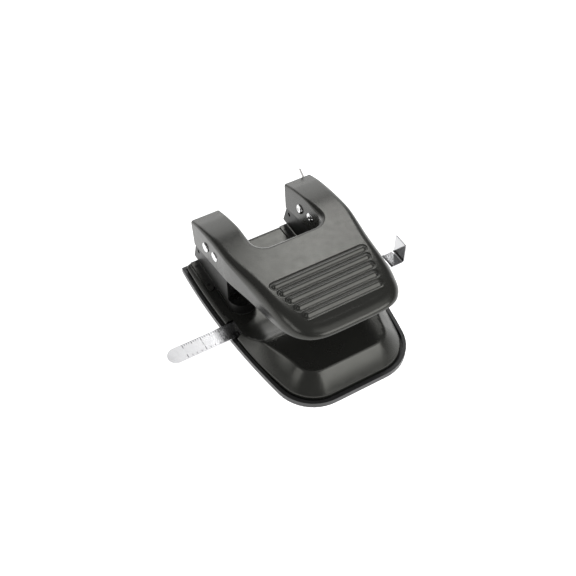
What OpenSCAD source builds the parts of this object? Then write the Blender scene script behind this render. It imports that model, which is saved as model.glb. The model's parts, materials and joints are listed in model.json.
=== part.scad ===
// Two-hole paper punch. Millimetres; Z up, table at z = 0, grip towards -Y,
// paper enters from +Y. The handle is shown up, the ruler half out.

/* [Punching] */

// Distance between the two punched holes
hole_spacing = 69.85; // [60:0.05:90]
// Radius of each cutter
punch_r = 3.55; // [2.5:0.05:4]
// Distance from the paper's edge to the middle of a hole
edge_distance = 11.6; // [8:0.1:14]
// Height of the slot the paper goes into
slot_height = 2.1; // [1:0.1:4]

/* [Base] */

// Half the width of the tray at the rear
tray_half_width = 54.9; // [45:0.1:60]
// Rear edge of the tray
tray_rear = 71.9; // [65:0.1:80]
// Front edge of the tray
tray_front = -71.6; // [-80:0.1:-65]
// Radius of the long bow of the sides
side_bow_r = 500; // [300:10:900]
// Radius of the front corners of the tray
front_corner_r = 28; // [18:1:32]
// Height of the tray's rim
rim_height = 4; // [3:0.1:5]
// Thickness of the tray's floor
tray_floor = 1.8; // [1.5:0.1:2.4]
// Height of the deck's top face
deck_z = 9.3; // [9:0.1:11]
// Height of the dome in front of the deck
dome_z = 17; // [13:0.1:17.5]
// Sheet thickness of the cover
cover_sheet = 1.2; // [0.8:0.1:1.5]

/* [Handle] */

// Width of each arm
arm_width = 20.8; // [20.2:0.1:22]
// Rear edge of the arms
handle_rear = 67; // [60:0.5:70]
// Front edge of the grip
handle_front = -61.2; // [-66:0.1:-55]
// Sheet thickness of the handle
handle_sheet = 1.0; // [0.8:0.1:1.1]
// Number of ribs pressed into the grip
rib_count = 5; // [3:1:5]
// Distance from rib to rib
rib_pitch = 6.8; // [6:0.1:7.5]

/* [Ruler] */

// Width of the ruler
guide_width = 12; // [9:0.5:13]
// Left tip of the ruler
guide_left = -95.7; // [-120:0.1:-85]
// Right end of the ruler
guide_right = 79.9; // [72:0.1:100]
// Height of the ruler's bent-up end
guide_tab = 16.2; // [8:0.1:20]

/* [Hidden] */

head_x = hole_spacing / 2;
running = 0.05;               // radial clearance of a shaft that turns or slides
free_gap = 0.3;               // gap between parts that move past each other
sides = [-1, 1];
far = 200;                    // half-size of the cutting blocks

bow_y = 45;                   // where the sides of the base are furthest apart
cover_inset = 2.4;            // from the tray's outline to the cover's
rim_wall = 2.2;
foot_r = 6;
foot_t = 1.0;
feet = [[-40, 10], [40, 10], [-28, -55], [28, -55]];

// Heads
plate_z = deck_z;             // underside of the die plates
plate_t = 1.0;
rivet_x = 11.9;
rivet_ys = [44, 63];
rivet_r = 1.2;
slot_z = plate_z + plate_t;   // the paper lies on this face
frame_z = slot_z + slot_height;
frame_sheet = 1.6;
frame_half = arm_width / 2 - handle_sheet - free_gap;
frame_in = frame_half - frame_sheet;
web_y = 19;                   // centre of the rounded front of each head
web_top = 18;
punch_y = 33.1;
stop_y = punch_y - edge_distance;
guide_z = frame_z + 0.4;
guide_top = 24;
punch_tip = guide_z + 0.2;
punch_top = 50.2;
stroke = 4.05;
spring_top = 40;
clip_t = 1.0;
groove_r = 3.1;

// Pins
pivot_y = 45.9;
pivot_z = 44.0;
pivot_r = 2.5;
drive_y = 33.25;
drive_z = 46.8;
drive_r = 2.0;
head_r = 3.5;
head_t = 1.0;
skirt_half = arm_width / 2;
e_clip_t = 0.6;

// Handle
skirt_rear_y = 65.3;
skirt_rear_z = 29.3;
skirt_slope = 0.2;
notch_y = 13.9;
notch_corner_r = 9.5;
notch_half = head_x - arm_width / 2;
lip_z = 54.6;
// (y, z) of the top of the handle from its rear edge to the nose
top_line = [[handle_rear, 49.6], [55, 54], [43, 57.4], [34, 59.1], [21, 60], [0, 61],
            [-18, 61.9], [-45, 60.6], [-53, 59.2]];
inner_drop = handle_sheet * 1.05;
arm_half = head_x + arm_width / 2;
grip_half = 40.2;
grip_corner_r = 20;

// Ruler and its channel
guide_y = 3.9;
guide_t = 0.8;
guide_low = deck_z - cover_sheet - free_gap - guide_t;
channel_t = 0.8;
channel_half = 42;
channel_low = guide_low - free_gap - channel_t;
channel_foot_x = 38;
channel_rivet_r = 0.9;
leaf_half = 14;
notch_deep = 6;                // the openings in the cover that the ruler passes
notch_long = 14;

// Tray door
door_front = 34;
door_axis_y = 63.5;
door_axis_z = 3.2;
door_half = 44;
door_z = 0.3;
door_t = 1.2;
door_pin_r = 1.0;
knuckle_r = 1.8;
ear_xs = [-32, 32];           // the tray's ears that hold the door's pin
ear_width = 4;

function lowered(points, drop) = [for (p = points) [p[0], p[1] - drop]];

function skirt_z(y) = skirt_rear_z + skirt_slope * (handle_rear - y);

// ---- outlines -------------------------------------------------------------

function arc_points(x, y, r, from, to, steps) =
    [for (i = [0 : steps]) let (a = from + (to - from) * i / steps)
        [x + r * cos(a), y + r * sin(a)]];

function mirrored(points) =
    [for (i = [len(points) - 1 : -1 : 0]) [-points[i][0], points[i][1]]];

// Outline of the base, drawn in by the inset all round: bowed sides, round front corners
module base_outline(inset) {
    reach = side_bow_r - front_corner_r;
    corner_y = tray_front + front_corner_r;
    lean = asin((bow_y - corner_y) / reach);
    corner_x = reach * cos(lean) + tray_half_width - side_bow_r;
    rear_angle = asin((tray_rear - inset - bow_y) / (side_bow_r - inset));
    right_side = concat(
        arc_points(tray_half_width - side_bow_r, bow_y, side_bow_r - inset,
                   rear_angle, -lean, 14),
        arc_points(corner_x, corner_y, front_corner_r - inset, -lean - 8, -90, 10));
    polygon(concat(right_side, mirrored(right_side)));
}

// Plan of the handle: grip, arms and the gap between them, drawn in by the inset
module handle_outline(inset, rear) {
    difference() {
        union() {
            polygon([[-arm_half + inset, rear], [-arm_half + inset, 20],
                     [-grip_half + inset, handle_front + grip_corner_r],
                     [grip_half - inset, handle_front + grip_corner_r],
                     [arm_half - inset, 20], [arm_half - inset, rear]]);
            for (side = sides)
                translate([side * (grip_half - grip_corner_r), handle_front + grip_corner_r])
                    circle(r = grip_corner_r - inset);
            translate([-grip_half + grip_corner_r, handle_front + inset])
                square([2 * (grip_half - grip_corner_r), grip_corner_r]);
        }
        notch_outline(inset);
    }
}

// The gap between the arms, widened by the inset
module notch_outline(inset) {
    for (side = sides)
        translate([side * (notch_half - notch_corner_r), notch_y + notch_corner_r])
            circle(r = notch_corner_r + inset);
    translate([-notch_half + notch_corner_r, notch_y - inset])
        square([2 * (notch_half - notch_corner_r), notch_corner_r + inset]);
    translate([-notch_half - inset, notch_y + notch_corner_r])
        square([2 * (notch_half + inset), far]);
}

// Side view of the handle, drawn (y, z)
module handle_profile() {
    polygon(concat([[skirt_rear_y, skirt_rear_z + 0.3]],
                   top_line,
                   [[-58.5, 57], [handle_front, 54.2],
                    [handle_front, skirt_z(handle_front) - 0.8]]));
}

// Side view of the space inside the handle, open below and to the rear
module handle_inside_profile() {
    polygon(concat([[handle_rear + 5, 0]],
                   lowered(concat([[handle_rear + 5, 47.8]],
                                  top_line,
                                  [[-58, 57], [-62, 54]]),
                           inner_drop),
                   [[-62, 0]]));
}

// Turns a (y, z) drawing into a block that runs along X
module along_x(width) {
    translate([-width / 2, 0, 0])
        rotate([90, 0, 90])
            linear_extrude(width)
                children();
}

module rod_x(r, x_from, x_to) {
    translate([x_from, 0, 0])
        rotate([0, 90, 0])
            cylinder(r = r, h = x_to - x_from);
}

module at_head(side) {
    translate([side * head_x, 0, 0])
        children();
}

// ---- base -----------------------------------------------------------------

// Outside of the cover, or its hollow when drawn in by the sheet thickness
module cover_block(inset, lower) {
    linear_extrude(deck_z - lower)
        base_outline(cover_inset + inset);
    intersection() {
        linear_extrude(dome_z - lower)
            base_outline(cover_inset + inset);
        along_x(2 * far)
            polygon([[2 - inset, 0], [2 - inset, deck_z - lower - 0.01],
                     [-7 - inset, dome_z - lower], [-56 + inset, dome_z - lower],
                     [-65 + inset, deck_z - 1 - lower], [-71 + inset, 0]]);
        rotate([90, 0, 0])
            translate([0, 0, -far])
                linear_extrude(2 * far)
                    polygon([[-56 + inset, 0], [-49 + inset, deck_z - 3 - lower],
                             [-38 + inset, dome_z - lower], [38 - inset, dome_z - lower],
                             [49 - inset, deck_z - 3 - lower], [56 - inset, 0]]);
    }
}

module base_cover() {
    color([0.09, 0.09, 0.09])
    difference() {
        cover_block(0, 0);
        cover_block(cover_sheet, cover_sheet);
        translate([-far, -far, -1])
            cube([2 * far, 2 * far, tray_floor + 1]);
        // chip holes and slots for the frame tabs
        for (side = sides)
            at_head(side) {
                translate([0, punch_y, deck_z - 3])
                    cylinder(r = punch_r + 0.8, h = 6);
                frame_tabs(running, 1);
                rivet_holes();
            }
        // openings the ruler slides through
        for (side = sides)
            translate([side * (tray_half_width - cover_inset - notch_deep / 2)
                           - notch_deep / 2 - 1.5,
                       guide_y - notch_long / 2, rim_height + 0.4])
                cube([notch_deep + 3, notch_long, deck_z]);
        channel_rivet_places(channel_rivet_r + running, deck_z - 3, deck_z + 3);
    }
}

module chip_tray() {
    color([0.05, 0.05, 0.05])
    difference() {
        union() {
            difference() {
                linear_extrude(rim_height)
                    base_outline(0);
                translate([0, 0, tray_floor])
                    linear_extrude(rim_height)
                        base_outline(rim_wall);
            }
            // ears that hold the door's pin
            for (x = ear_xs)
                translate([x - ear_width / 2, door_axis_y - knuckle_r, tray_floor - 0.5])
                    difference() {
                        cube([ear_width, 2 * knuckle_r, 3.6]);
                        translate([-1, knuckle_r, door_axis_z - tray_floor + 0.5])
                            rod_x(door_pin_r, 0, ear_width + 2);
                    }
        }
        // the opening the door closes, with ledges left under the ears
        difference() {
            translate([-door_half - free_gap, door_front - free_gap, -1])
                cube([2 * (door_half + free_gap), 68.2 - door_front, tray_floor + 1.01]);
            for (x = ear_xs)
                translate([x - ear_width / 2, door_axis_y - knuckle_r, -2])
                    cube([ear_width, 20, 10]);
        }
        for (foot = feet)
            translate([foot[0], foot[1], -1])
                cylinder(r = foot_r, h = foot_t + 1);
        // the rim is let down where the ruler passes
        for (side = sides)
            translate([side * tray_half_width - 4, guide_y - notch_long / 2, 3.6])
                cube([8, notch_long, 2]);
    }
}

module rubber_feet() {
    color([0.12, 0.12, 0.12])
    for (foot = feet)
        translate([foot[0], foot[1], 0])
            cylinder(r = foot_r, h = foot_t);
}

module chip_door() {
    color([0.06, 0.06, 0.06])
    difference() {
        union() {
            translate([-door_half, door_front, door_z])
                cube([2 * door_half, door_axis_y + 2.2 - door_front, door_t]);
            for (x = [-37, 26])
                translate([x, 0, 0])
                    door_knuckle(11);
            // stiffening ribs and the catch at the front edge
            for (x = [-20, 0, 20])
                translate([x - 0.6, door_front + 4, door_z + door_t])
                    cube([1.2, door_axis_y - door_front - 10, 1]);
            translate([-8, door_front, door_z + door_t])
                cube([16, 1, 1.6]);
        }
        // room for the tray's ears and the ledges under them as the door swings
        for (x = ear_xs)
            translate([x - ear_width / 2 - free_gap, door_axis_y - 6.4, -1])
                cube([ear_width + 2 * free_gap, 20, 12]);
        translate([0, door_axis_y, door_axis_z])
            rod_x(door_pin_r + running, -60, 60);
    }
}

module door_knuckle(long) {
    translate([0, door_axis_y, door_axis_z])
        rod_x(knuckle_r, 0, long);
    translate([0, door_axis_y - knuckle_r, door_z])
        cube([long, 2 * knuckle_r, door_axis_z - door_z]);
}

module chip_door_pin() {
    color([0.7, 0.7, 0.72])
    translate([0, door_axis_y, door_axis_z])
        rod_x(door_pin_r, -38, 38);
}

// ---- punch heads ----------------------------------------------------------

module rivet_holes() {
    for (x = [-rivet_x, rivet_x], y = rivet_ys)
        translate([x, y, deck_z - 3])
            cylinder(r = rivet_r, h = 6);
}

module die_plate(side) {
    color([0.10, 0.10, 0.10])
    at_head(side)
    difference() {
        translate([0, 0, plate_z])
            linear_extrude(plate_t)
                union() {
                    // strips beside the head, rounded in front
                    translate([-14, 41])
                        square([28, 27]);
                    for (x = [-12, 12])
                        translate([x, 41])
                            circle(r = 2);
                    translate([-frame_half, web_y])
                        square([2 * frame_half, 49]);
                    translate([0, web_y])
                        circle(r = frame_half);
                }
        translate([0, punch_y, 0])
            cylinder(r = punch_r + running, h = 30);
        frame_tabs(running, 1);
        rivet_holes();
    }
}

module die_plate_rivets() {
    color([0.12, 0.12, 0.12])
    for (side = sides)
        at_head(side)
            for (x = [-rivet_x, rivet_x], y = rivet_ys)
                translate([x, y, 0]) {
                    translate([0, 0, deck_z - cover_sheet - 0.6])
                        cylinder(r = 2, h = 0.6);
                    translate([0, 0, deck_z - cover_sheet])
                        cylinder(r = rivet_r, h = cover_sheet + plate_t);
                }
}

// Tabs under the rounded front that are staked through the plate and the deck
module frame_tabs(gap, over) {
    for (side = sides)
        translate([side * (frame_half - frame_sheet / 2) - frame_sheet / 2 - gap,
                   web_y - 3.5 - gap, deck_z - cover_sheet - 0.4 - over])
            cube([frame_sheet + 2 * gap, 5 + 2 * gap, cover_sheet + 0.4 + plate_t + 2 * over]);
}

// Side cheek of a head, drawn (y, z): it carries both pins
module cheek_profile() {
    polygon([[web_y + 1.5, frame_z], [69.6, frame_z], [71, frame_z + 0.4], [65.6, 30],
             [64, 41], [61, 48], [54, 50.6], [34, 50.6], [24, 48.5], [web_y + 1.5, 46.5]]);
}

module head_frame(side) {
    color([0.11, 0.11, 0.11])
    at_head(side)
    difference() {
        union() {
            for (x = [-frame_half, frame_in])
                translate([x + frame_sheet / 2, 0, 0])
                    along_x(frame_sheet)
                        cheek_profile();
            // rounded front that joins the cheeks and stops the paper
            translate([0, 0, slot_z])
                linear_extrude(web_top - slot_z)
                    difference() {
                        union() {
                            translate([0, web_y])
                                circle(r = frame_half);
                            translate([-frame_half, web_y])
                                square([2 * frame_half, stop_y - web_y]);
                        }
                        translate([0, web_y])
                            circle(r = frame_in);
                        translate([-frame_in, web_y])
                            square([2 * frame_in, 10]);
                    }
            frame_tabs(0, 0);
        }
        translate([0, pivot_y, pivot_z])
            rod_x(pivot_r, -20, 20);
        // slots the drive pin moves in
        drive_slot(drive_r + free_gap + 0.1, stroke);
        // small hole near the rear edge
        translate([0, 62.8, 23.8])
            rod_x(1.5, -20, 20);
    }
}

module drive_slot(r, down) {
    translate([0, punch_y, drive_z])
        rod_x(r, -20, 20);
    translate([0, punch_y, drive_z - down])
        rod_x(r, -20, 20);
    translate([-20, punch_y - r, drive_z - down])
        cube([40, 2 * r, down]);
}

module punch_guide(side) {
    color([0.55, 0.55, 0.56])
    at_head(side)
    difference() {
        translate([-frame_in, punch_y - 6.5, guide_z])
            cube([2 * frame_in, 13, guide_top - guide_z]);
        translate([0, punch_y, 0])
            cylinder(r = punch_r + running, h = 60);
    }
}

module punch_pin(side) {
    color([0.72, 0.72, 0.74])
    at_head(side)
    difference() {
        translate([0, punch_y, punch_tip])
            cylinder(r = punch_r, h = punch_top - punch_tip);
        // groove for the spring clip
        translate([0, punch_y, spring_top])
            difference() {
                cylinder(r = punch_r + 1, h = clip_t);
                translate([0, 0, -1])
                    cylinder(r = groove_r, h = clip_t + 2);
            }
        // the drive pin's slot, long enough for its slight arc
        translate([0, punch_y - 0.35, drive_z])
            rod_x(drive_r + running, -9, 9);
        translate([0, punch_y + 0.35, drive_z])
            rod_x(drive_r + running, -9, 9);
        translate([-9, punch_y - 0.35, drive_z - drive_r - running])
            cube([18, 0.7, 2 * (drive_r + running)]);
        // shear angle of the cutting end
        translate([0, punch_y, punch_tip])
            rotate([0, 90, 0])
                translate([0, 0, -9])
                    rotate([0, 0, 45])
                        cube([1.2, 1.2, 18]);
    }
}

// Compression spring around the cutter, drawn as a sleeve with a wavy outside
module return_spring(side) {
    coils = 7;
    pitch = (spring_top - guide_top) / coils;
    color([0.6, 0.6, 0.62])
    at_head(side)
    translate([0, punch_y, guide_top])
        rotate_extrude()
            polygon(concat([[4.1, 0]],
                           [for (i = [0 : coils - 1]) each
                               [[5.0, i * pitch], [5.7, (i + 0.3) * pitch],
                                [5.7, (i + 0.7) * pitch], [5.0, (i + 1) * pitch]]],
                           [[4.1, spring_top - guide_top]]));
}

module spring_clip(side) {
    color([0.5, 0.5, 0.52])
    at_head(side)
    translate([0, punch_y, spring_top])
        difference() {
            cylinder(r = 6, h = clip_t);
            translate([0, 0, -1])
                cylinder(r = groove_r, h = clip_t + 2);
            translate([-groove_r * 0.8, 0, -1])
                cube([groove_r * 1.6, 12, clip_t + 2]);
        }
}

// ---- pins -----------------------------------------------------------------

// A pin through an arm: head on the left, groove for a clip on the right
module arm_pin(r, y, z, gap) {
    left = -skirt_half - gap;
    right = skirt_half + gap;
    translate([0, y, z])
        difference() {
            union() {
                rod_x(r, left, right + e_clip_t + 0.8);
                rod_x(head_r, left - head_t, left);
            }
            difference() {
                rod_x(r + 1, right, right + e_clip_t);
                rod_x(r - 0.5, right - 1, right + 2);
            }
        }
}

module arm_clip(r, y, z, gap) {
    translate([0, y, z])
        difference() {
            rod_x(head_r, skirt_half + gap, skirt_half + gap + e_clip_t);
            rod_x(r - 0.5, 0, 20);
            translate([skirt_half - 1, -(r - 0.5) * 0.8, -10])
                cube([5, (r - 0.5) * 1.6, 10]);
        }
}

module pivot_pin(side) {
    color([0.8, 0.8, 0.82])
    at_head(side)
        arm_pin(pivot_r, pivot_y, pivot_z, free_gap);
}

module drive_pin(side) {
    color([0.8, 0.8, 0.82])
    at_head(side)
        arm_pin(drive_r, drive_y, drive_z, 0);
}

module pivot_pin_clips() {
    color([0.45, 0.45, 0.47])
    for (side = sides)
        at_head(side)
            arm_clip(pivot_r, pivot_y, pivot_z, free_gap);
}

module drive_pin_clips() {
    color([0.45, 0.45, 0.47])
    for (side = sides)
        at_head(side)
            arm_clip(drive_r, drive_y, drive_z, 0);
}

// ---- handle ---------------------------------------------------------------

module handle() {
    color([0.10, 0.10, 0.10])
    difference() {
        union() {
            intersection() {
                linear_extrude(80)
                    handle_outline(0, handle_rear);
                along_x(2 * far)
                    handle_profile();
            }
            grip_ribs();
        }
        intersection() {
            translate([0, 0, -1])
                linear_extrude(80)
                    handle_outline(handle_sheet, handle_rear + 10);
            along_x(2 * far)
                handle_inside_profile();
        }
        // the gap between the arms has only a short lip in front
        translate([-notch_half + notch_corner_r * 0.5, 5, 0])
            cube([2 * notch_half - notch_corner_r, 12, lip_z]);
        // holes for the pins
        for (side = sides)
            at_head(side) {
                translate([0, pivot_y, pivot_z])
                    rod_x(pivot_r + running, -skirt_half - 1, skirt_half + 1);
                translate([0, drive_y, drive_z])
                    rod_x(drive_r, -skirt_half - 1, skirt_half + 1);
            }
    }
}

module grip_ribs() {
    r = 3.4;
    for (i = [0 : rib_count - 1]) {
        half = 33.2 - 1.3 * i - r;
        translate([0, -18 - rib_pitch * i, 59.7 - 0.22 * i]) {
            rod_x(r, -half, half);
            for (side = sides)
                translate([side * half, 0, 0])
                    sphere(r = r);
        }
    }
}

// Thin strip under the right arm's top whose end stands out at the rear
module arm_strip() {
    color([0.5, 0.5, 0.5])
    translate([40, 0, 0])
        along_x(1.2)
            polygon(concat(lowered([[55, 54], [handle_rear, 49.6], [handle_rear + 0.6, 49.6]],
                                   inner_drop),
                           [[73, 52.3], [73.2, 51.8]],
                           lowered([[handle_rear + 0.9, 48.9], [handle_rear, 49],
                                    [55, 53.4]], inner_drop)));
}

// ---- ruler ----------------------------------------------------------------

module channel_rivet_places(r, low, high) {
    for (x = [-channel_foot_x, channel_foot_x], y = [-9, 9])
        translate([x, guide_y + y, low])
            cylinder(r = r, h = high - low);
}

// Folded strip under the deck that the ruler slides in
module guide_channel() {
    wall = guide_width / 2 + free_gap;
    color([0.65, 0.65, 0.66])
    difference() {
        union() {
            translate([-channel_half, guide_y - wall - channel_t, channel_low])
                cube([2 * channel_half, 2 * (wall + channel_t), channel_t]);
            for (y = [guide_y - wall - channel_t, guide_y + wall])
                translate([-channel_half, y, channel_low])
                    cube([2 * channel_half, channel_t, deck_z - cover_sheet - channel_low]);
            // feet that are riveted to the deck
            for (x = [-channel_foot_x, channel_foot_x],
                 y = [guide_y - wall - 5.2, guide_y + wall])
                translate([x - 3, y, deck_z - cover_sheet - channel_t])
                    cube([6, 5.2, channel_t]);
        }
        channel_rivet_places(channel_rivet_r, 0, 30);
        // window the leaf spring bulges through
        translate([-leaf_half - 2, guide_y - 3, 0])
            cube([2 * leaf_half + 4, 6, channel_low + channel_t + 0.01]);
    }
}

module channel_rivets() {
    color([0.5, 0.5, 0.52]) {
        channel_rivet_places(channel_rivet_r, deck_z - cover_sheet - channel_t, deck_z);
        channel_rivet_places(1.6, deck_z - cover_sheet - channel_t - 0.5,
                             deck_z - cover_sheet - channel_t);
    }
}

// Bowed leaf that keeps the ruler where it is put
module guide_spring() {
    t = 0.4;
    rise = 1.05;
    color([0.75, 0.75, 0.77])
    translate([0, guide_y - 2.5, 0])
        rotate([90, 0, 0])
            mirror([0, 0, 1])
                linear_extrude(5)
                    polygon([[-leaf_half - 5, channel_low - t], [-leaf_half - 5, channel_low],
                             [-leaf_half + 1, channel_low], [-4, channel_low + rise - 0.1],
                             [4, channel_low + rise - 0.1], [leaf_half - 1, channel_low],
                             [leaf_half + 5, channel_low], [leaf_half + 5, channel_low - t],
                             [leaf_half - 1, channel_low - t], [4, channel_low + rise - 0.1 - t],
                             [-4, channel_low + rise - 0.1 - t],
                             [-leaf_half + 1, channel_low - t]]);
}

module paper_guide() {
    half = guide_width / 2;
    bend_r = 2;
    color([0.82, 0.82, 0.84]) {
        translate([0, guide_y, guide_low])
            linear_extrude(guide_t)
                union() {
                    translate([guide_left + half, 0])
                        circle(r = half);
                    translate([guide_left + half, -half])
                        square([guide_right - bend_r - guide_left - half, guide_width]);
                }
        // bend and upright end
        translate([guide_right - bend_r, guide_y + half, guide_low + bend_r])
            rotate([90, 0, 0])
                linear_extrude(guide_width)
                    intersection() {
                        difference() {
                            circle(r = bend_r);
                            circle(r = bend_r - guide_t);
                        }
                        translate([0, -bend_r])
                            square([bend_r, bend_r]);
                    }
        translate([guide_right - guide_t, guide_y - half, guide_low + bend_r])
            cube([guide_t, guide_width, guide_tab - bend_r]);
    }
}

// ---- drawing --------------------------------------------------------------

base_cover();
chip_tray();
chip_door();
chip_door_pin();
rubber_feet();
die_plate(-1);  // left_die_plate
die_plate(1);  // right_die_plate
die_plate_rivets();
head_frame(-1);  // left_head_frame
head_frame(1);  // right_head_frame
punch_guide(-1);  // left_punch_guide
punch_guide(1);  // right_punch_guide
punch_pin(-1);  // left_punch_pin
punch_pin(1);  // right_punch_pin
return_spring(-1);  // left_return_spring
return_spring(1);  // right_return_spring
spring_clip(-1);  // left_spring_clip
spring_clip(1);  // right_spring_clip
pivot_pin(-1);  // left_pivot_pin
pivot_pin(1);  // right_pivot_pin
pivot_pin_clips();
drive_pin(-1);  // left_drive_pin
drive_pin(1);  // right_drive_pin
drive_pin_clips();
handle();
arm_strip();
guide_channel();
channel_rivets();
guide_spring();
paper_guide();
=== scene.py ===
from collections import namedtuple
import json
import math

import bmesh
import bpy
import numpy as np
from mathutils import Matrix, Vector


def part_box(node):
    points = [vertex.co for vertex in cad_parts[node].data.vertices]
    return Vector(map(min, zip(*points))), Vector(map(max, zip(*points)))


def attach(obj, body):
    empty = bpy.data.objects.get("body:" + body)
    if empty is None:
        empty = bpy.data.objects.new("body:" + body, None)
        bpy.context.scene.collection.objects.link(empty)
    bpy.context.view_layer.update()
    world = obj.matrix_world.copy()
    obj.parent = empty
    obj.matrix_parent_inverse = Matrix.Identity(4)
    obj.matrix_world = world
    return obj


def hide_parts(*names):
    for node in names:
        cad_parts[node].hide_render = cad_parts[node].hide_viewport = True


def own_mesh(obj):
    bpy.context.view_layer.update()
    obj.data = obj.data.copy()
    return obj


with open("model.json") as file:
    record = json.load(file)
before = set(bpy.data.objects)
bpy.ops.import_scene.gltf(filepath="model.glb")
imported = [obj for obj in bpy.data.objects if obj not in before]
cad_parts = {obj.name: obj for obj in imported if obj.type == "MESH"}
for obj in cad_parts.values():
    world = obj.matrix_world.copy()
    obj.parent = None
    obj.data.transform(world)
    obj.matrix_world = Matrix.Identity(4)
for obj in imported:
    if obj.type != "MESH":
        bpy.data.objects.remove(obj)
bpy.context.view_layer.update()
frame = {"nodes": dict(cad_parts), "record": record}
nodes = frame["nodes"]

MM = 0.001
INCH = 25.4
SIDES = ("left", "right")

# ---- driving dimensions, in millimetres ----------------------------------------

ARM_X = 34.925          # middle of each arm and head
SKIRT_HALF = 10.4       # half the width of an arm
PUNCH_Y = 33.1

ARM_REAR_Y = 67
SKIRT_REAR_Z = 29.2     # lower edge of the handle's sides, at the rear
SKIRT_RISE = 0.2        # rise of that edge for each millimetre forwards
LIP_Z = 54.6            # lower edge of the lip between the arms
HANDLE_SHEET = 1.0

COVER_SHEET = 1.0
COVER_INSET = 2.5       # from the outline of the base
COVER_LOW_Z = 2.0
COVER_SINK = 0.05       # keeps its top clear of the plates that rest on it
DECK_Z = 9.3
DOME_Z = 17.0
RAMP_REAR_Y = 6         # where the deck starts to rise to the dome
RAMP_FRONT_Y = -20
CHIP_HOLE_R = 4.35      # holes in the cover under the die plates
RULER_GAP_X = 46.6      # the cover is open for the ruler outside this
RULER_GAP_Y = (-3.1, 10.9)

BASE_REAR_Y = 71.9
BASE_FRONT_Y = -71.6
BASE_HALF = 54.9        # at its widest
BASE_WIDEST_Y = 45
BASE_SIDE_R = 500       # the sides are bowed
BASE_FRONT_R = 28
BASE_REAR_R = 3

PIN_HEAD_R = 3.46
PINS = {
    "pivot": {"radius": 2.5, "y": 45.9, "z": 44.0, "gap": 0.3, "body": "base"},
    "drive": {"radius": 2.0, "y": 33.25, "z": 46.8, "gap": 0.0, "body": "handle"},
}

RULER_SHEET = 0.8
RULER_BEND_R = 1.6
RULER_CREASE = 9        # from the bend to the crease across the ruler
MARK_HEIGHT = 0.03
MARK_WIDTH = 0.42
DIGIT_SIZE = 3.0


# ---- curves and profiles -------------------------------------------------------

def blend(value, start, end):
    """0 at start, 1 at end, and a smooth change between them."""
    t = min(1.0, max(0.0, (value - start) / (end - start)))
    return t * t * (3 - 2 * t)


def through(points, steps):
    """A smooth open curve through the points, with this many steps from one to the next."""
    pts = [np.array(p, float) for p in points]
    pts = [2 * pts[0] - pts[1]] + pts + [2 * pts[-1] - pts[-2]]
    made = []
    for i in range(1, len(pts) - 2):
        a, b, c, d = pts[i - 1:i + 3]
        for k in range(steps):
            t = k / steps
            made.append(0.5 * (2 * b + (c - a) * t + (2 * a - 5 * b + 4 * c - d) * t ** 2
                               + (3 * b - a - 3 * c + d) * t ** 3))
    made.append(pts[-2])
    return np.array(made)


def arc(centre, radius, start, end, steps):
    angles = np.radians(np.linspace(start, end, steps + 1))
    return np.array([[centre[0] + radius * math.cos(a), centre[1] + radius * math.sin(a)]
                     for a in angles])


def spaced(path, step):
    """The same path with points at most this far apart, its corners kept."""
    made = [path[0]]
    for a, b in zip(path[:-1], path[1:]):
        count = max(1, int(math.ceil(np.linalg.norm(b - a) / step)))
        for k in range(1, count + 1):
            made.append(a + (b - a) * k / count)
    return np.array(made)


def inward(path, closed=False):
    """Unit normals to the left of the path."""
    if closed:
        ahead, behind = np.roll(path, -1, 0), np.roll(path, 1, 0)
    else:
        ahead = np.vstack([path[1:], path[-1:]])
        behind = np.vstack([path[:1], path[:-1]])
    run = ahead - behind
    run /= np.linalg.norm(run, axis=1)[:, None]
    return np.stack([-run[:, 1], run[:, 0]], 1)


def both_ways(half):
    """A path followed by its mirror image in x, whose first point they share."""
    return np.vstack([half, (half * [-1, 1])[::-1][1:]])


def spread(*runs):
    """Places at an even pitch: each run is (from, to, pitch)."""
    return [place for run in runs for place in np.arange(*run)]


def look_up(curve, value):
    return float(np.interp(value, curve[:, 0], curve[:, 1]))


def arm_x(side):
    return -ARM_X if side == "left" else ARM_X


# ---- pieces made of pressed sheet ----------------------------------------------

ROLL_STEPS = 12
DROP_STEPS = 4
# how far down against how far out, on a rim that slopes instead of rolling
SLOPE = through([(0, 0), (0.06, 0.03), (0.13, 0.10), (0.5, 0.48), (0.85, 0.85),
                 (0.95, 0.96), (1, 1)], 6)
CUT_TOLERANCE = 1e-4
RIM_TOLERANCE = 1e-2

# where the rim ends and where it leaves the flat middle, (x, y); how far its roll falls;
# and the lowest z it reaches
RimPoint = namedtuple("RimPoint", "edge inner fall low")


def section(share, slope):
    """How far out and down the rim is at this share of the roll: round, or a slope."""
    angle = math.pi / 2 * share
    out = math.sin(angle) * (1 - slope) + share * slope
    down = (1 - math.cos(angle)) * (1 - slope) + look_up(SLOPE, share) * slope
    return out, down


def cut(bm, axis, places):
    """Cuts every face of the mesh along planes across x (axis 0) or y (axis 1)."""
    normal = Vector((0, 0, 0))
    normal[axis] = 1
    for place in places:
        bmesh.ops.bisect_plane(bm, geom=bm.verts[:] + bm.edges[:] + bm.faces[:],
                               dist=CUT_TOLERANCE, plane_co=normal * place,
                               plane_no=normal)


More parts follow.
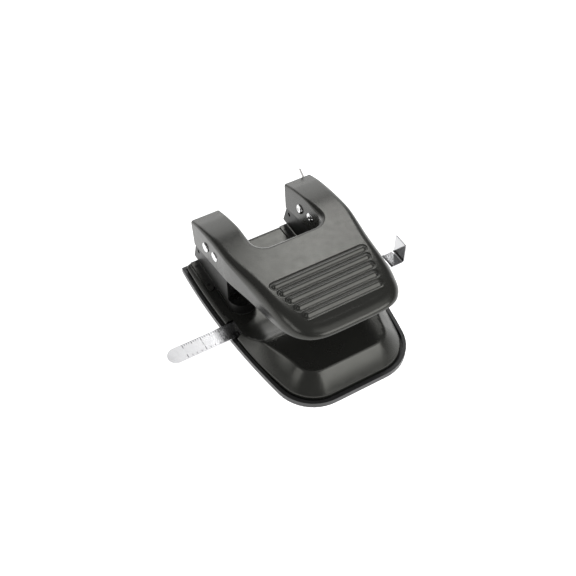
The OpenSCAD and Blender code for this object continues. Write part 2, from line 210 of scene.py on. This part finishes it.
class Rims:
    """The rims round a sheet's flat middle, and where a point lies along them."""

    def __init__(self, rims):
        closed = len(rims) == 1
        self.stretches = []
        for rim in rims:
            ends = rim[1:] + rim[:1] if closed else rim[1:]
            self.stretches += zip(rim, ends)
        self.starts = np.array([a.inner for a, _ in self.stretches])
        self.runs = np.array([b.inner for _, b in self.stretches]) - self.starts
        self.lengths = (self.runs ** 2).sum(1) + 1e-12

    def nearest(self, x, y):
        """Distance to the rims, number of the nearest stretch, and the share along it."""
        point = np.array([x, y])
        share = np.clip(((point - self.starts) * self.runs).sum(1) / self.lengths, 0, 1)
        gap = np.linalg.norm(self.starts + share[:, None] * self.runs - point, axis=1)
        i = int(gap.argmin())
        return gap[i], i, share[i]

    def carry(self, mesh_edge):
        """Whether an edge of the mesh lies on the rims."""
        a, b = mesh_edge.verts
        middle = (a.co + b.co) / 2
        return self.nearest(middle.x, middle.y)[0] <= RIM_TOLERANCE

    def at(self, x, y):
        """Edge point, fall and lowest z of the rim beside this point."""
        _, i, t = self.nearest(x, y)
        a, b = self.stretches[i]
        return (a.edge * (1 - t) + b.edge * t, a.fall * (1 - t) + b.fall * t,
                a.low * (1 - t) + b.low * t)


def rolled_column(bm, vert, rims, rim_top, slope):
    """The vertices from this one down over the roll and on to the rim's lowest z."""
    edge, fall, low = rims.at(vert.co.x, vert.co.y)
    start = np.array([vert.co.x, vert.co.y])
    high = rim_top(*start)
    made = [vert]
    for k in range(1, ROLL_STEPS + 1):
        out, down = section(k / ROLL_STEPS, slope)
        xy = start + (edge - start) * out
        made.append(bm.verts.new((xy[0], xy[1], high - fall * down)))
    for k in range(1, DROP_STEPS + 1):
        z = (high - fall) + (low - high + fall) * k / DROP_STEPS
        made.append(bm.verts.new((edge[0], edge[1], z)))
    return made


def pressed_sheet(rim_points, top, rim_top, cuts_x, cuts_y, slope=0.0):
    """A sheet whose flat middle rolls down at its rims. rim_points holds a list of
    RimPoint for each rim, and the rims joined end to end go once round the sheet;
    top(x, y) is the height of the middle and rim_top(x, y) the height the rims start
    from."""
    bm = bmesh.new()
    bm.faces.new([bm.verts.new((*point.inner, 0)) for rim in rim_points for point in rim])
    cut(bm, 0, cuts_x)
    cut(bm, 1, cuts_y)

    rims = Rims(rim_points)
    columns = {}
    for edge in [e for e in bm.edges if e.is_boundary]:
        if not rims.carry(edge):
            continue
        for vert in edge.verts:
            if vert not in columns:
                columns[vert] = rolled_column(bm, vert, rims, rim_top, slope)
        first, second = [columns[vert] for vert in edge.verts]
        for k in range(len(first) - 1):
            bm.faces.new((first[k], second[k], second[k + 1], first[k + 1]))
    below = {v for c in columns.values() for v in c[1:]}
    for vert in bm.verts:
        if vert not in below:
            vert.co.z = top(vert.co.x, vert.co.y)
    bmesh.ops.recalc_face_normals(bm, faces=bm.faces[:])
    middle_face = max(bm.faces, key=lambda f: f.calc_area())
    if middle_face.normal.z < 0:
        bmesh.ops.reverse_faces(bm, faces=bm.faces[:])
    return bm


def add_object(name, mesh):
    obj = bpy.data.objects.new(name, mesh)
    bpy.context.scene.collection.objects.link(obj)
    return obj


def finish_mesh(bm, name):
    """Turns a mesh in millimetres into an object in metres, smooth shaded."""
    bmesh.ops.scale(bm, vec=(MM, MM, MM), verts=bm.verts[:])
    for face in bm.faces:
        face.smooth = True
    mesh = bpy.data.meshes.new(name)
    bm.to_mesh(mesh)
    bm.free()
    return add_object(name, mesh)


def thicken(obj, sheet, offset=-1):
    """Makes a sheet solid: below its surface at offset -1, half on each side at 0."""
    solid = obj.modifiers.new("sheet", "SOLIDIFY")
    solid.thickness = sheet * MM
    solid.offset = offset


def round_edges(obj, width, angle=35):
    bevel = obj.modifiers.new("edge", "BEVEL")
    bevel.width = width * MM
    bevel.segments = 2
    bevel.limit_method = "ANGLE"
    bevel.angle_limit = math.radians(angle)
    bevel.harden_normals = True
    bevel.use_clamp_overlap = True


# ---- materials -----------------------------------------------------------------

class Shader:
    """A material's node tree, with short calls for the nodes used here."""

    def __init__(self, name):
        self.material = bpy.data.materials.new(name)
        self.material.use_nodes = True
        self.tree = self.material.node_tree
        self.bsdf = self.tree.nodes["Principled BSDF"]
        coords = self.tree.nodes.new("ShaderNodeTexCoord")
        self.place = coords.outputs["Object"]

    def link(self, a, b):
        self.tree.links.new(a, b)

    def noise(self, scale, detail=4.0, rough=0.55, stretch=None):
        node = self.tree.nodes.new("ShaderNodeTexNoise")
        node.inputs["Scale"].default_value = scale
        node.inputs["Detail"].default_value = detail
        node.inputs["Roughness"].default_value = rough
        if stretch:
            mapping = self.tree.nodes.new("ShaderNodeMapping")
            mapping.inputs["Scale"].default_value = stretch
            self.link(self.place, mapping.inputs["Vector"])
            self.link(mapping.outputs["Vector"], node.inputs["Vector"])
        else:
            self.link(self.place, node.inputs["Vector"])
        return node.outputs["Fac"]

    def span(self, value, low, high):
        """Spreads the middle range of a noise, where nearly all of it lies, over low to high."""
        node = self.tree.nodes.new("ShaderNodeMapRange")
        node.inputs["From Min"].default_value = 0.3
        node.inputs["From Max"].default_value = 0.7
        node.inputs["To Min"].default_value = low
        node.inputs["To Max"].default_value = high
        self.link(value, node.inputs["Value"])
        return node.outputs["Result"]

    def mix(self, factor, a, b):
        node = self.tree.nodes.new("ShaderNodeMix")
        node.data_type = "RGBA"
        for socket, colour in ((node.inputs[6], a), (node.inputs[7], b)):
            socket.default_value = (*colour, 1)
        self.link(factor, node.inputs[0])
        return node.outputs[2]

    def uneven_colour(self, pattern, colour, darkest):
        """The colour, darker by up to this factor where the pattern says."""
        dark = tuple(c * darkest for c in colour)
        tone = self.mix(self.span(pattern, 0, 1), dark, colour)
        self.link(tone, self.bsdf.inputs["Base Color"])

    def uneven_roughness(self, pattern, low, high):
        self.link(self.span(pattern, low, high), self.bsdf.inputs["Roughness"])

    def bump(self, height, strength, distance):
        node = self.tree.nodes.new("ShaderNodeBump")
        node.inputs["Strength"].default_value = strength
        node.inputs["Distance"].default_value = distance
        self.link(height, node.inputs["Height"])
        self.link(node.outputs["Normal"], self.bsdf.inputs["Normal"])


def paint(name, colour, rough_low, rough_high, shine):
    s = Shader(name)
    s.uneven_colour(s.noise(60), colour, 0.85)
    s.uneven_roughness(s.noise(220, 6), rough_low, rough_high)
    s.bsdf.inputs["Specular IOR Level"].default_value = shine
    s.bsdf.inputs["Specular Tint"].default_value = (1.0, 1.0, 0.93, 1)
    s.bump(s.noise(1600, 3), 0.03, 0.0002)
    return s.material


def plastic(name, colour, rough_low, rough_high, grain):
    s = Shader(name)
    s.uneven_colour(s.noise(90), colour, 0.8)
    s.uneven_roughness(s.noise(300, 5), rough_low, rough_high)
    s.bump(s.noise(grain, 2), 0.15, 0.0003)
    return s.material


def steel(name, colour, rough_low, rough_high, stretch, scale=900):
    s = Shader(name)
    s.bsdf.inputs["Metallic"].default_value = 1
    brushed = s.noise(scale, 5, 0.6, stretch)
    s.uneven_colour(brushed, colour, 0.82)
    s.uneven_roughness(s.noise(150, 6), rough_low, rough_high)
    s.bump(brushed, 0.08, 0.0001)
    return s.material


MATERIALS = {
    "black_paint": paint("black_paint", (0.017, 0.0172, 0.0155), 0.21, 0.27, 0.5),
    "black_plastic": plastic("black_plastic", (0.02, 0.02, 0.02), 0.3, 0.4, 2500),
    "rubber": plastic("rubber", (0.02, 0.02, 0.02), 0.7, 0.85, 1800),
    "bright_steel": steel("bright_steel", (0.60, 0.60, 0.61), 0.25, 0.4, (1, 8, 8)),
    "spring_steel": steel("spring_steel", (0.36, 0.35, 0.34), 0.22, 0.34, (1, 1, 1)),
    "chrome": steel("chrome", (0.86, 0.86, 0.86), 0.07, 0.16, (1, 1, 1), 300),
    "black_steel": paint("black_steel", (0.006, 0.006, 0.006), 0.34, 0.42, 0.3),
    "plate_steel": paint("plate_steel", (0.02, 0.02, 0.019), 0.26, 0.34, 0.6),
    "ruler_steel": steel("ruler_steel", (0.62, 0.62, 0.63), 0.09, 0.15, (1, 14, 14)),
    "etched_mark": plastic("etched_mark", (0.04, 0.04, 0.045), 0.45, 0.6, 2000),
}


def put_on(obj, material):
    obj.data.materials.clear()
    obj.data.materials.append(MATERIALS[material])


def dress(obj, slot, body):
    put_on(obj, slot)
    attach(obj, body)


# ---- handle --------------------------------------------------------------------

# height of the handle's top from the nose (first) to the rear edge
TOP_LINE = through([(ARM_REAR_Y, 49.6), (61, 51.9), (55, 54.0), (43, 57.3), (34, 59.0),
                    (21, 60.1), (0, 61.1), (-18, 61.8), (-32, 61.6), (-45, 60.6),
                    (-53, 59.2), (-60, 57.2), (-70, 53.5)], 12)[::-1]

RIB_COUNT = 5
RIB_FIRST_Y = -18
RIB_PITCH = 6.8
RIB_FIRST_HALF = 30.6   # half the length of the rearmost rib
RIB_SHORTER = 1.6       # what each rib loses from that at either end
RIB_REACH = 4           # the top is flat this far from a rib
# height against the distance from the rib's middle line
RIB_SECTION = through([(-0.6, 1.12), (0, 1.22), (0.6, 1.12), (1.2, 0.62), (1.8, -0.05),
                       (2.3, -0.38), (2.8, -0.3), (3.4, 0.0), (4.2, 0.0)], 6)

# width of the outer roll at the rear, then what it gains from one y to another
ROLL_REAR = 1.8
ROLL_GAINS = ((66, 30, 2.2), (26, -26, 2.8), (-20, -54, 2.4))
ROLL_TALLER = 0.25      # beside the ribs it is taller than wide, by this share
SKIRT_STRAIGHT = 0.6    # least height of the straight side below the roll

NOTCH_HALF = 24.5
NOTCH_FRONT_Y = 13.9
NOTCH_CORNER_R = 9.5
NOTCH_ROLL = 3.4
NOTCH_ROLL_LESS = 1.9   # what the notch's roll loses beside the heads

# the rear edges of the handle's sides lean forwards below this height
LEAN_TOP_Z = 49.6
LEAN_HEIGHT = 20.3
LEAN = 1.7
LEAN_FROM_Y = 55


def handle_top(y):
    return look_up(TOP_LINE, y)


def skirt_low(y):
    return SKIRT_REAR_Z + SKIRT_RISE * (ARM_REAR_Y - y)


def ribs(x, y):
    """Height of the pressed ribs, each a ridge between two shallow grooves."""
    best = math.inf
    for i in range(RIB_COUNT):
        half = RIB_FIRST_HALF - RIB_SHORTER * i
        along = max(0.0, abs(x) - half)
        best = min(best, math.hypot(along, y - RIB_FIRST_Y + RIB_PITCH * i))
    return 0.0 if best > RIB_REACH else look_up(RIB_SECTION, best)


def outer_rim():
    """The rim from the left arm's rear corner round the grip to the right arm's."""
    right = through([(45.3, ARM_REAR_Y), (45.3, 56), (45.3, 45), (45.3, 34), (45.3, 24),
                     (45.2, 19), (44.8, 14), (44.25, 9), (43.55, 3), (42.3, -8),
                     (41.3, -21), (40.2, -34), (38.9, -42), (36.6, -49), (33.2, -54.2),
                     (28.4, -58.2), (21, -60.6), (10, -61.2), (0, -61.2)], 5)
    path = spaced(both_ways(right * [-1, 1]), 1.6)
    rim = []
    for point, normal in zip(path, inward(path)):
        y = point[1]
        low = skirt_low(y)
        width = ROLL_REAR + sum(gain * blend(y, start, end)
                                for start, end, gain in ROLL_GAINS)
        inner = point + normal * width
        taller = 1 + ROLL_TALLER * blend(y, 22, -22) * blend(y, -48, -18)
        fall = min(width * taller, handle_top(inner[1]) - low - SKIRT_STRAIGHT)
        rim.append(RimPoint(point, inner, fall, low))
    return rim


def notch_rim():
    """The rim round the notch between the arms, from right to left."""
    corner = arc((NOTCH_HALF - NOTCH_CORNER_R, NOTCH_FRONT_Y + NOTCH_CORNER_R),
                 NOTCH_CORNER_R, 0, -90, 12)
    half = np.vstack([[[NOTCH_HALF, ARM_REAR_Y]], corner, [[0, NOTCH_FRONT_Y]]])
    path = spaced(both_ways(half), 1.6)
    rim = []
    for point, normal in zip(path, inward(path)):
        y = point[1]
        arm = blend(abs(point[0]), 17, 22)
        width = NOTCH_ROLL - NOTCH_ROLL_LESS * arm * blend(y, 24, 44)
        low = LIP_Z + (skirt_low(y) - LIP_Z) * arm
        rim.append(RimPoint(point, point + normal * width, width, low))
    return rim


def lean_forward(bm):
    """Leans the rear edges of the handle's sides forwards, most at the bottom."""
    for vert in bm.verts:
        if vert.co.y > LEAN_FROM_Y:
            down = min(1.0, max(0.0, (LEAN_TOP_Z - vert.co.z) / LEAN_HEIGHT))
            back = (vert.co.y - LEAN_FROM_Y) / (ARM_REAR_Y - LEAN_FROM_Y)
            vert.co.y -= LEAN * down * back


def make_handle():
    # where the two rims meet, at the rear of the arms, they end on the same line
    rims = [outer_rim(), notch_rim()]
    for rim in rims:
        for i in (0, -1):
            rim[i] = rim[i]._replace(inner=np.array([rim[i].inner[0], float(ARM_REAR_Y)]))

    # the cuts are close together at the ends of the ribs and across them
    half_x = spread((0.6, 22, 2.0), (22, 36, 0.45), (36, 46, 1.5))
    cuts_x = [side * x for side in (-1, 1) for x in half_x]
    cuts_y = spread((-51, -12, 0.45), (-60, -51, 1.0), (-12, ARM_REAR_Y, 1.5))
    bm = pressed_sheet(rims, lambda x, y: handle_top(y) + ribs(x, y),
                       lambda x, y: handle_top(y), cuts_x, cuts_y)
    lean_forward(bm)
    shell = finish_mesh(bm, "handle_shell")
    thicken(shell, HANDLE_SHEET)
    round_edges(shell, 0.3, 50)
    dress(shell, "black_paint", "handle")
    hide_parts("handle")


# ---- base cover ----------------------------------------------------------------

# share of the way up to the dome against share of the ramp's length
RAMP = through([(-0.1, 0), (0, 0), (0.25, 0.06), (0.5, 0.25), (0.75, 0.57), (0.92, 0.87),
                (1.0, 0.98), (1.08, 1.0), (1.2, 1.0)], 6)
# the rim of the deck, and the wide slope it becomes round the dome
DECK_RIM = 1.5
DOME_RIM_MORE = 11.3
DOME_RIM_LOW_Z = 4.8


def base_path(inset):
    """Outline of the base, drawn in by the inset, anticlockwise from the middle rear."""
    centre_x = BASE_SIDE_R - BASE_HALF
    corner_y = BASE_FRONT_Y + BASE_FRONT_R
    reach = BASE_SIDE_R - BASE_FRONT_R
    drop = BASE_WIDEST_Y - corner_y
    corner_x = math.sqrt(reach ** 2 - drop ** 2) - centre_x
    lean = math.degrees(math.asin(drop / reach))
    rear_lean = math.degrees(math.asin((BASE_REAR_Y - BASE_WIDEST_Y) / BASE_SIDE_R))
    rear_y = BASE_REAR_Y - inset
    side = arc((centre_x, BASE_WIDEST_Y), BASE_SIDE_R - inset, 180 - rear_lean + 0.35,
               180 + lean, 60)
    side = side[side[:, 1] < rear_y - BASE_REAR_R]
    rear = arc((side[0][0] + BASE_REAR_R, rear_y - BASE_REAR_R), BASE_REAR_R, 90, 180, 6)
    corner = arc((-corner_x, corner_y), BASE_FRONT_R - inset, 180 + lean, 270, 26)
    left = np.vstack([[[0, rear_y]], rear, side, corner[1:], [[0, BASE_FRONT_Y + inset]]])
    return spaced(both_ways(left)[:-1], 2.0)


def cover_height(x, y):
    share = (RAMP_REAR_Y - y) / (RAMP_REAR_Y - RAMP_FRONT_Y)
    return DECK_Z - COVER_SINK + (DOME_Z - DECK_Z) * look_up(RAMP, share)


def cover_rim():
    path = base_path(COVER_INSET)
    rim = []
    for point, normal in zip(path, inward(path, closed=True)):
        y = point[1]
        edge = point + normal * 1.3 * blend(y, -20, -60)
        inner = point + normal * (DECK_RIM + DOME_RIM_MORE * blend(y, RAMP_REAR_Y, -48))
        dome_fall = cover_height(*inner) - DOME_RIM_LOW_Z
        forward = blend(y, RAMP_REAR_Y, RAMP_FRONT_Y)
        fall = DECK_RIM + (dome_fall - DECK_RIM) * forward
        rim.append(RimPoint(edge, inner, fall, COVER_LOW_Z))
    return rim


def open_for_ruler(bm):
    rear, front = max(RULER_GAP_Y), min(RULER_GAP_Y)
    doomed = []
    for face in bm.faces:
        centre = face.calc_center_median()
        if abs(centre.x) > RULER_GAP_X and front < centre.y < rear:
            doomed.append(face)
    bmesh.ops.delete(bm, geom=doomed, context="FACES")


def chip_hole(bm, centre):
    """Opens a round hole in the flat deck, where cuts mark the square around it."""
    def reach(point):
        return max(abs(point.x - centre.x), abs(point.y - centre.y))

    doomed = [f for f in bm.faces if reach(f.calc_center_median()) < CHIP_HOLE_R]
    bmesh.ops.delete(bm, geom=doomed, context="FACES")
    for vert in bm.verts:
        if abs(reach(vert.co) - CHIP_HOLE_R) < 1e-3:
            out = Vector((vert.co.x - centre.x, vert.co.y - centre.y, 0))
            out.length = CHIP_HOLE_R
            vert.co = Vector((centre.x + out.x, centre.y + out.y, vert.co.z))


def make_cover():
    cuts_x = spread((-54, 55, 2.0)) + [-RULER_GAP_X, RULER_GAP_X] \
        + [arm_x(side) + reach for side in SIDES for reach in (-CHIP_HOLE_R, CHIP_HOLE_R)]
    cuts_y = spread((-70, 72, 2.0)) + list(RULER_GAP_Y) \
        + [PUNCH_Y - CHIP_HOLE_R, PUNCH_Y + CHIP_HOLE_R]
    bm = pressed_sheet([cover_rim()], cover_height, cover_height, cuts_x, cuts_y,
                       slope=0.92)
    open_for_ruler(bm)
    for side in SIDES:
        chip_hole(bm, Vector((arm_x(side), PUNCH_Y, 0)))
    shell = finish_mesh(bm, "cover_shell")
    thicken(shell, COVER_SHEET)
    round_edges(shell, 0.25, 50)
    dress(shell, "black_paint", "base")
    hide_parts("base_cover")


# ---- turned parts and springs --------------------------------------------------

def join_rings(bm, rings):
    """Faces between each ring of vertices and the next; a ring of one is a point."""
    for a, b in zip(rings[:-1], rings[1:]):
        count = max(len(a), len(b))
        for k in range(count):
            m = (k + 1) % count
            if len(a) == 1:
                bm.faces.new((a[0], b[k], b[m]))
            elif len(b) == 1:
                bm.faces.new((a[k], b[0], a[m]))
            else:
                bm.faces.new((a[k], b[k], b[m], a[m]))


def turned(name, profile, place, segments=48):
    """A solid of revolution about an axis along X; profile is (x, radius) from end to end."""
    bm = bmesh.new()
    rings = []
    for x, radius in profile:
        ring = []
        for k in range(segments if radius else 1):
            a = 2 * math.pi * k / segments
            ring.append(bm.verts.new((place[0] + x, place[1] + radius * math.cos(a),
                                      place[2] + radius * math.sin(a))))
        rings.append(ring)
    join_rings(bm, rings)
    bmesh.ops.recalc_face_normals(bm, faces=bm.faces[:])
    return finish_mesh(bm, name)


def make_pin(side, kind, radius, y, z, gap, body):
    """A pin through one arm: a domed head with a dimple on the left, a grooved end right."""
    groove = radius - 0.5
    head = [(-0.72, 0), (-0.72, 0.9), (-0.98, 1.25), (-0.98, 1.9), (-0.84, 2.7),
            (-0.55, 3.25), (-0.2, PIN_HEAD_R), (0, PIN_HEAD_R), (0, radius + 0.05),
            (0.1, radius)]
    end = [(-0.05, radius), (0, groove), (0.6, groove), (0.65, radius), (1.15, radius),
           (1.38, radius - 0.35), (1.38, 0)]
    reach = SKIRT_HALF + gap
    profile = [(x - reach, r) for x, r in head] + [(x + reach, r) for x, r in end]
    name = f"{side}_{kind}_pin"
    pin = turned(f"{name}_turned", profile, (arm_x(side), y, z))
    round_edges(pin, 0.08, 30)
    dress(pin, "chrome", body)
    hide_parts(name)


def make_spring(side):
    """A coil on the punch, with a flat turn at either end."""
    x = arm_x(side)
    low, high, radius, wire, turns = 24.0, 40.0, 4.95, 0.68, 6.5
    per_turn, around = 36, 12
    bm = bmesh.new()
    rings = []
    for i in range(int(per_turn * (turns + 2)) + 1):
        turn = i / per_turn
        climb = min(1.0, max(0.0, (turn - 1) / turns))
        z = low + wire + (high - low - 2 * wire) * climb
        a = 2 * math.pi * turn
        centre = Vector((x + radius * math.cos(a), PUNCH_Y + radius * math.sin(a), z))
        out = Vector((math.cos(a), math.sin(a), 0))
        ring = []
        for k in range(around):
            b = 2 * math.pi * k / around
            ring.append(bm.verts.new(centre + out * (wire * math.cos(b))
                                     + Vector((0, 0, wire * math.sin(b)))))
        rings.append(ring)
    join_rings(bm, rings)
    bm.faces.new(rings[0][::-1])
    bm.faces.new(rings[-1])
    bmesh.ops.recalc_face_normals(bm, faces=bm.faces[:])
    spring = finish_mesh(bm, f"{side}_return_coil")
    dress(spring, "spring_steel", "base")
    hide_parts(f"{side}_return_spring")
    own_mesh(spring)


# ---- ruler ---------------------------------------------------------------------

def make_ruler():
    low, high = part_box("paper_guide")
    left, right = low.x / MM, high.x / MM
    bottom, peak = low.z / MM, high.z / MM
    middle = (low.y + high.y) / 2 / MM
    half = (high.y - low.y) / 2 / MM
    bend_x = right - RULER_SHEET / 2 - RULER_BEND_R
    flat_z = bottom + RULER_SHEET / 2
    run = bend_x - left
    quarter = RULER_BEND_R * math.pi / 2
    length = run + quarter + (peak - flat_z - RULER_BEND_R)

    def place(s):
        """Point (x, z) of the middle of the strip, s from the left tip."""
        if s <= run:
            crease = 0.25 * math.exp(-((s - run + RULER_CREASE) / 0.9) ** 2)
            return left + s, flat_z + crease
        turn = (s - run) / RULER_BEND_R
        if turn < math.pi / 2:
            return (bend_x + RULER_BEND_R * math.sin(turn),
                    flat_z + RULER_BEND_R * (1 - math.cos(turn)))
        return bend_x + RULER_BEND_R, flat_z + RULER_BEND_R + (s - run - quarter)

    def half_width(s):
        """Round at the left tip, and drawn in at the corners of the bent-up end."""
        left_tip = math.sqrt(max(0.01, half ** 2 - (half - s) ** 2)) if s < half else half
        corner = min(1.0, max(0.0, (s - length + 0.8) / 0.8))
        return left_tip - 0.4 * corner ** 2

    # stations along the strip: round its tip, along it, and over the crease and bend
    round_tip = half * (1 - np.cos(np.linspace(0.02, math.pi / 2, 14)))
    stations = sorted(set([*round_tip, *spread((half, run - 12, 3.0), (run - 12, length, 0.4)),
                           length]))
    across = 12
    bm = bmesh.new()
    rows = []
    for s in stations:
        width = half_width(s)
        x, z = place(s)
        rows.append([bm.verts.new((x, middle + width * (2 * k / across - 1), z))
                     for k in range(across + 1)])
    for a, b in zip(rows[:-1], rows[1:]):
        for k in range(across):
            bm.faces.new((a[k], b[k], b[k + 1], a[k + 1]))
    bmesh.ops.recalc_face_normals(bm, faces=bm.faces[:])
    strip = finish_mesh(bm, "ruler_strip")
    thicken(strip, RULER_SHEET, 0)
    round_edges(strip, 0.12, 40)
    dress(strip, "ruler_steel", "ruler")
    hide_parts("paper_guide")

    first = left + 12
    top = bottom + RULER_SHEET
    make_graduations(first, bend_x, middle, half, top)
    for i in range(1, 12):
        make_number(i, first + INCH / 2 * i, middle, top)


def make_graduations(first, bend_x, middle, half, top):
    """Etched graduations along both edges, left out over the crease."""
    bm = bmesh.new()
    z = top + 0.015
    edge_gap = 0.5
    crease = bend_x - RULER_CREASE
    last = bend_x - 2

    def row(pitch, lengths, rear):
        """Marks along one edge; lengths is (every so many, length), the longest first."""
        for i in range(int((last - first) / pitch)):
            x = first + pitch * i
            if abs(x - crease) <= 2:
                continue
            long = next(length for every, length in lengths if i % every == 0)
            near = middle + half - edge_gap - long if rear else middle - half + edge_gap
            corners = [(x - MARK_WIDTH / 2, near), (x + MARK_WIDTH / 2, near),
                       (x + MARK_WIDTH / 2, near + long), (x - MARK_WIDTH / 2, near + long)]
            bm.faces.new([bm.verts.new((*corner, z)) for corner in corners])

    row(INCH / 16, ((8, 3.0), (4, 2.1), (1, 1.3)), rear=True)
    row(INCH / 8, ((4, 2.8), (1, 1.4)), rear=False)
    dress_mark(finish_mesh(bm, "ruler_graduations"))


def make_number(number, x, middle, top):
    """A plain number beside a long graduation."""
    body = bpy.data.curves.new(f"digit_{number}", "FONT")
    body.body = str(number)
    body.size = DIGIT_SIZE * MM
    body.align_x = "CENTER"
    body.align_y = "CENTER"
    text = bpy.data.objects.new(f"digit_curve_{number}", body)
    mesh = bpy.data.meshes.new_from_object(text)
    bpy.data.objects.remove(text)
    digit = add_object(f"ruler_number_{number}", mesh)
    digit.location = (x * MM, (middle - 0.2) * MM, (top + 0.02) * MM)
    dress_mark(digit)


def dress_mark(obj):
    thicken(obj, MARK_HEIGHT)
    put_on(obj, "etched_mark")
    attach(obj, "ruler")


# ---- the CAD nodes that stay ---------------------------------------------------

EDGE_WIDTH = {
    "chip_tray": 0.55, "chip_door": 0.2, "rubber_feet": 0.2,
    "left_head_frame": 0.3, "right_head_frame": 0.3,
    "left_die_plate": 0.2, "right_die_plate": 0.2,
}
FINISH = {"left_die_plate": "plate_steel", "right_die_plate": "plate_steel"}
REPLACED = {"handle", "base_cover", "paper_guide"} | {
    f"{side}_{part}" for side in SIDES for part in ("return_spring", "pivot_pin", "drive_pin")}


def dress_cad():
    slots = {s["node"]: s["material_slot"] for s in frame["record"]["subparts"]}
    for name, obj in nodes.items():
        if name in REPLACED:
            continue
        put_on(obj, FINISH.get(name, slots[name]))
        round_edges(obj, EDGE_WIDTH.get(name, 0.08))


# ---- stage, in metres ----------------------------------------------------------

FLOOR_HALF = 3
PUNCH_MIDDLE = (0, 0, 0.03)
RULER_LEFT = (-0.08, 0.004, 0.008)
LIGHTS = (
    # name, place, what it points at, width, height, watts
    ("overhead", (0.484, 0.807, 0.946), PUNCH_MIDDLE, 0.307, 0.39, 2.25),
    ("rear", (0.45, 1.30, 0.46), PUNCH_MIDDLE, 1.6, 0.7, 5.5),
    ("ruler", (0.25, 0.75, 1.06), RULER_LEFT, 0.3, 0.3, 0.33),
    ("top", (0.42, -0.45, 1.2), PUNCH_MIDDLE, 0.8, 0.7, 2.0),
    ("front", (0.42, -1.0, 0.72), PUNCH_MIDDLE, 1.0, 0.6, 8),
    ("left", (-1.0, -0.06, 0.62), PUNCH_MIDDLE, 0.5, 0.4, 1.5),
)
# brightness of the surroundings against the sine of the height above the horizon
SURROUNDINGS = ((0.12, 1.0), (0.26, 0.12), (0.6, 0.2), (0.9, 0.3))
CAMERA_PLACE = (-186.5, -304.0, 441.6)      # millimetres, solved from the photo
CAMERA_AIM = (-6.7, 7.9, 20)
CAMERA_LENS = 53.3


def point_at(obj, place, aim):
    obj.location = place
    obj.rotation_euler = (Vector(aim) - Vector(place)).to_track_quat("-Z", "Y").to_euler()


def area_light(name, place, aim, width, height, power):
    data = bpy.data.lights.new(name, "AREA")
    data.shape = "RECTANGLE"
    data.size = width
    data.size_y = height
    data.energy = power
    point_at(add_object(name, data), place, aim)


def make_surroundings():
    """A white backdrop near the horizon and a dim room above it."""
    world = bpy.data.worlds.new("studio")
    bpy.context.scene.world = world
    world.use_nodes = True
    tree = world.node_tree
    background = tree.nodes["Background"]
    coords = tree.nodes.new("ShaderNodeTexCoord")
    split = tree.nodes.new("ShaderNodeSeparateXYZ")
    ramp = tree.nodes.new("ShaderNodeValToRGB")
    tree.links.new(coords.outputs["Generated"], split.inputs["Vector"])
    tree.links.new(split.outputs["Z"], ramp.inputs["Fac"])
    tree.links.new(ramp.outputs["Color"], background.inputs["Color"])
    stops = ramp.color_ramp.elements
    ready = len(stops)
    for i, (position, level) in enumerate(SURROUNDINGS):
        stop = stops[i] if i < ready else stops.new(position)
        stop.position = position
        stop.color = (level, level, level, 1)
    background.inputs["Strength"].default_value = 1.0


def make_floor():
    bm = bmesh.new()
    reach = FLOOR_HALF / MM
    corners = [(-reach, -reach), (reach, -reach), (reach, reach), (-reach, reach)]
    bm.faces.new([bm.verts.new((x, y, -0.05)) for x, y in corners])
    floor = finish_mesh(bm, "floor")
    s = Shader("floor")
    tone = s.mix(s.span(s.noise(3), 0, 1), (0.58, 0.58, 0.58), (0.62, 0.62, 0.62))
    s.link(tone, s.bsdf.inputs["Base Color"])
    s.bsdf.inputs["Roughness"].default_value = 0.9
    s.bsdf.inputs["Emission Color"].default_value = (1, 1, 1, 1)
    s.bsdf.inputs["Emission Strength"].default_value = 1.05
    floor.data.materials.append(s.material)


def make_camera():
    data = bpy.data.cameras.new("camera")
    data.sensor_width = 36
    data.lens = CAMERA_LENS
    camera = add_object("camera", data)
    point_at(camera, Vector(CAMERA_PLACE) * MM, Vector(CAMERA_AIM) * MM)
    bpy.context.scene.camera = camera


def make_stage():
    make_floor()
    make_surroundings()
    for light in LIGHTS:
        area_light(*light)
    make_camera()
    bpy.context.scene.view_settings.view_transform = "Standard"


make_handle()
make_cover()
for arm in SIDES:
    for pin_kind, pin in PINS.items():
        make_pin(arm, pin_kind, **pin)
    make_spring(arm)
make_ruler()
dress_cad()
make_stage()
